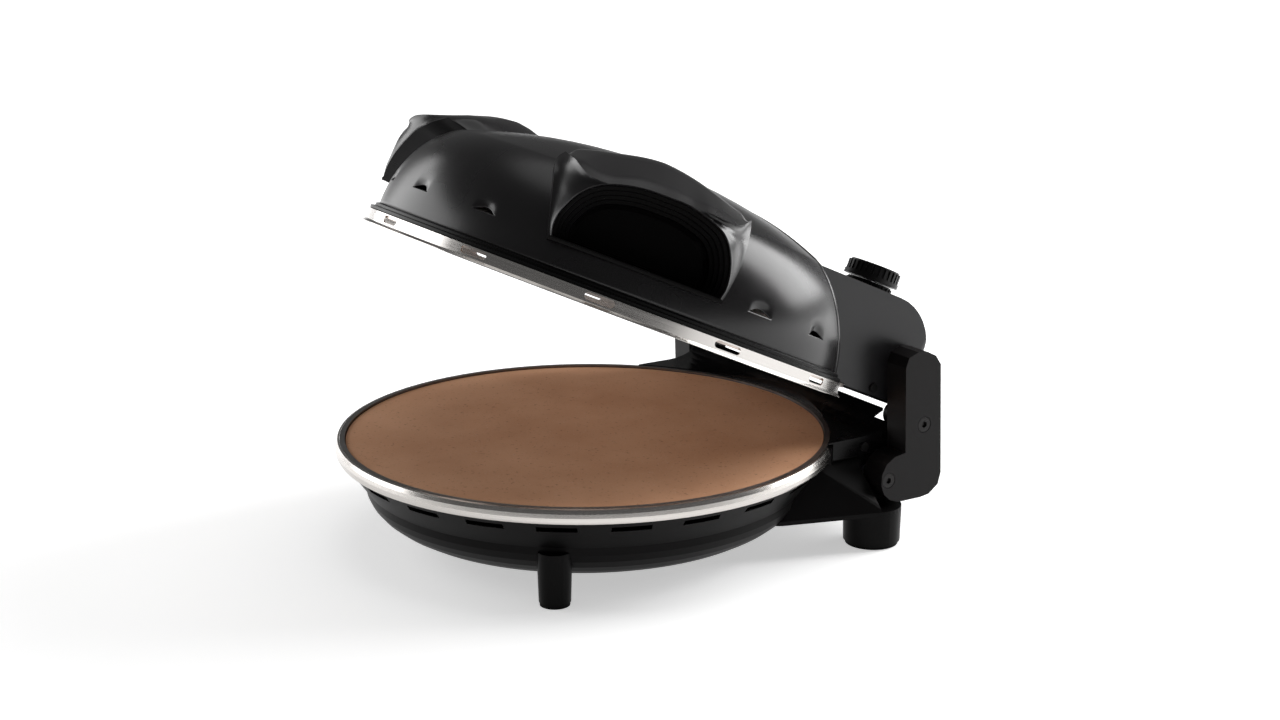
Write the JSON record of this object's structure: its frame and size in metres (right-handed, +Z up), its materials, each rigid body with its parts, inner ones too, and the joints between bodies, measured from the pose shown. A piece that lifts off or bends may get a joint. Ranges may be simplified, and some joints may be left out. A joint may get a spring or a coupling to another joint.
{
  "type": "electric pizza maker",
  "caption": "Countertop electric pizza maker with a round baking stone in a shallow steel base and a hinged domed lid with side grips and a thermostat knob.",
  "frame": {"origin": "on the table, under the middle of the bounding box at rest, with the lid open 24.5 degrees", "axes": "+Z up, front faces -Y, hinge at +Y"},
  "size_m": [0.3496, 0.3753, 0.283],
  "materials": {
    "black_paint": "satin baked enamel",
    "bright_steel": "polished stainless sheet",
    "sheet_steel": "aluminised sheet, dull",
    "stone": "unglazed cordierite",
    "element": "oxidised sheath",
    "dark_plastic": "heat-resistant moulding, fine grain",
    "knob_plastic": "moulded, ribbed",
    "arm_alloy": "cast arm, grey paint",
    "rubber": "moulded foot pad",
    "screw_steel": "zinc plated",
    "white_ceramic": "glazed insulator"
  },
  "bodies": {
    "base": {"base_shell": "black_paint", "rim_band": "bright_steel", "rim_clips": "dark_plastic", "inner_pan": "sheet_steel", "lower_heater": "element", "lower_heater_clips": "sheet_steel", "base_cutout": "white_ceramic", "hinge_deck": "black_paint", "base_rear_cover": "black_paint", "cord_gland": "dark_plastic", "front_feet": "dark_plastic", "rear_feet": "dark_plastic", "foot_pads": "rubber", "hinge_lugs": "sheet_steel", "arm_pivot_bolts": "screw_steel", "toe_washers": "screw_steel", "base_screws": "screw_steel"},
    "stone": {"stone": "stone"},
    "arms": {"hinge_arm_left": "arm_alloy", "hinge_arm_right": "arm_alloy", "arm_tie": "sheet_steel", "lid_pivot_bolts": "screw_steel", "lid_washers": "screw_steel"},
    "lid": {"lid_dome": "black_paint", "lid_flange": "black_paint", "lid_ring": "bright_steel", "handle_left": "dark_plastic", "handle_right": "dark_plastic", "grip_liner_left": "knob_plastic", "grip_liner_right": "knob_plastic", "upper_reflector": "sheet_steel", "upper_heater": "element", "upper_heater_clips": "sheet_steel", "control_housing": "dark_plastic", "housing_cover": "dark_plastic", "thermostat": "sheet_steel", "knob_boss": "knob_plastic", "terminal_block": "white_ceramic", "lid_screws": "screw_steel"},
    "knob": {"control_knob": "knob_plastic", "thermostat_spindle": "screw_steel"}
  },
  "joints": [
    {"name": "stone_lift", "type": "slide", "parent": "base", "child": "stone", "axis": [0, 0, 1], "range_m": [0, 0.008]},
    {"name": "arm_pivot", "type": "hinge", "parent": "base", "child": "arms", "pos_m": [0, 0.1382, 0.0465], "axis": [-1, 0, 0], "range_deg": [0, 3]},
    {"name": "lid_hinge", "type": "hinge", "parent": "arms", "child": "lid", "pos_m": [0, 0.1677, 0.0815], "axis": [-1, 0, 0], "range_deg": [-25.4, 60]},
    {"name": "knob_turn", "type": "hinge", "parent": "lid", "child": "knob", "pos_m": [0.084, 0.1616, 0.16671], "axis": [0, 0.4148, 0.9099], "range_deg": [0, 270]}
  ]
}
